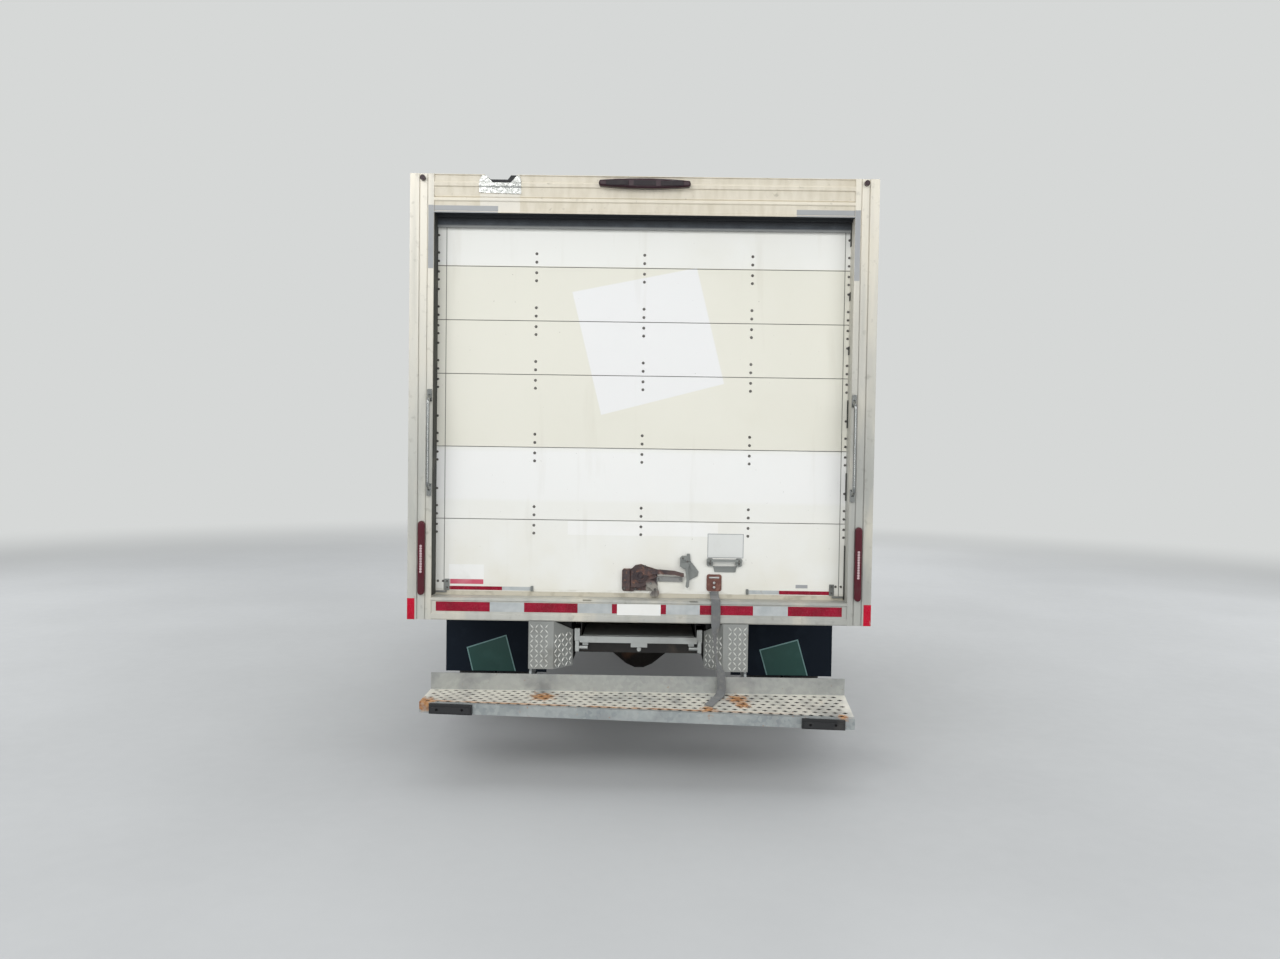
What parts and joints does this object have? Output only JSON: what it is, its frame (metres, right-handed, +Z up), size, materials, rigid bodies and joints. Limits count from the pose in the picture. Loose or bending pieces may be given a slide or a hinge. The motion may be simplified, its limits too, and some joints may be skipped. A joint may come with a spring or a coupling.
{
  "type": "box truck",
  "caption": "Box truck on a cutaway van chassis, with a cargo box behind the cab, a roll-up rear door with a lever latch, a stored walk ramp and a bent rear step bumper.",
  "frame": {"origin": "on the road under the middle of the truck's overall length and width", "axes": "+Y points forwards, +X to the truck's right, +Z up"},
  "size_m": [2.55, 6.713, 3.1299],
  "materials": {
    "white_paint": "gloss",
    "silver_frame": "satin",
    "door_panels": "satin",
    "galvanised_steel": "weathered",
    "chassis_black": "satin",
    "cast_iron_brown": "rough",
    "rusty_steel": "rusty",
    "wood_floor": "satin",
    "aluminium": "satin",
    "black_rubber": "matte",
    "navy_rubber": "matte",
    "tyre": "matte",
    "rim_white": "satin",
    "dark_plastic": "matte",
    "lamp_red": "gloss",
    "lamp_clear": "gloss",
    "glass": "clear",
    "seat_cloth": "woven",
    "strap_webbing": "woven",
    "chrome_trim": "polished",
    "seal_rubber": "matte"
  },
  "bodies": {
    "chassis": {"box_floor": "wood_floor", "box_front": "white_paint", "box_rails": "aluminium", "box_roof": "white_paint", "box_sides": "white_paint", "box_underframe": "galvanised_steel", "bumper_pads": "black_rubber", "cab_body": "white_paint", "checker_covers": "aluminium", "dashboard": "dark_plastic", "door_hardware": "galvanised_steel", "door_latch": "rusty_steel", "door_seals": "seal_rubber", "engine": "aluminium", "exhaust": "cast_iron_brown", "frame_crossmembers": "chassis_black", "frame_rail_left": "chassis_black", "frame_rail_right": "chassis_black", "front_axle": "chassis_black", "front_bumper": "dark_plastic", "fuel_tank": "dark_plastic", "grab_handles": "chrome_trim", "grille": "dark_plastic", "headlamps": "lamp_clear", "mud_flaps": "navy_rubber", "pull_strap": "strap_webbing", "rear_axle": "cast_iron_brown", "rear_header": "silver_frame", "rear_lamps": "lamp_red", "rear_posts": "silver_frame", "rear_sill": "silver_frame", "rear_springs": "chassis_black", "roll_up_door": "door_panels", "seats": "seat_cloth", "step_bumper": "galvanised_steel", "windscreen": "glass"},
    "cab_door_left": {"cab_door_left": "white_paint", "door_glass_left": "glass", "door_mirror_left": "dark_plastic"},
    "cab_door_right": {"cab_door_right": "white_paint", "door_glass_right": "glass", "door_mirror_right": "dark_plastic"},
    "bonnet": {"bonnet": "white_paint"},
    "steering_left": {"knuckle_left": "cast_iron_brown"},
    "steering_right": {"knuckle_right": "cast_iron_brown"},
    "front_wheel_left": {"front_tyre_left": "tyre", "front_rim_left": "rim_white"},
    "front_wheel_right": {"front_tyre_right": "tyre", "front_rim_right": "rim_white"},
    "rear_wheels_left": {"rear_tyres_left": "tyre", "rear_rims_left": "rim_white"},
    "rear_wheels_right": {"rear_tyres_right": "tyre", "rear_rims_right": "rim_white"},
    "walk_ramp": {"walk_ramp": "aluminium"}
  },
  "joints": [
    {"name": "left_door_hinge", "type": "hinge", "parent": "chassis", "child": "cab_door_left", "pos_m": [-1.008, 2.0425, 1.1], "axis": [0, 0, -1], "range_deg": [0, 70]},
    {"name": "right_door_hinge", "type": "hinge", "parent": "chassis", "child": "cab_door_right", "pos_m": [1.008, 2.0425, 1.1], "axis": [0, 0, 1], "range_deg": [0, 70]},
    {"name": "bonnet_hinge", "type": "hinge", "parent": "chassis", "child": "bonnet", "pos_m": [0, 2.3775, 1.396], "axis": [1, 0, 0], "range_deg": [0, 55]},
    {"name": "left_kingpin", "type": "hinge", "parent": "chassis", "child": "steering_left", "pos_m": [-0.74, 2.5665, 0.372], "axis": [0, 0, 1], "range_deg": [-35, 35]},
    {"name": "right_kingpin", "type": "hinge", "parent": "chassis", "child": "steering_right", "pos_m": [0.74, 2.5665, 0.372], "axis": [0, 0, 1], "range_deg": [-35, 35]},
    {"name": "left_front_wheel_spin", "type": "hinge", "parent": "steering_left", "child": "front_wheel_left", "pos_m": [-0.86, 2.5665, 0.372], "axis": [1, 0, 0], "continuous": true},
    {"name": "right_front_wheel_spin", "type": "hinge", "parent": "steering_right", "child": "front_wheel_right", "pos_m": [0.86, 2.5665, 0.372], "axis": [1, 0, 0], "continuous": true},
    {"name": "left_rear_wheels_spin", "type": "hinge", "parent": "chassis", "child": "rear_wheels_left", "pos_m": [-0.96, -1.4465, 0.372], "axis": [1, 0, 0], "continuous": true},
    {"name": "right_rear_wheels_spin", "type": "hinge", "parent": "chassis", "child": "rear_wheels_right", "pos_m": [0.96, -1.4465, 0.372], "axis": [1, 0, 0], "continuous": true},
    {"name": "ramp_slide", "type": "slide", "parent": "chassis", "child": "walk_ramp", "axis": [0, -1, 0], "range_m": [0, 2.2]}
  ],
  "couplings": [
    {"joint": "right_kingpin", "follows": "left_kingpin", "ratio": 1}
  ]
}
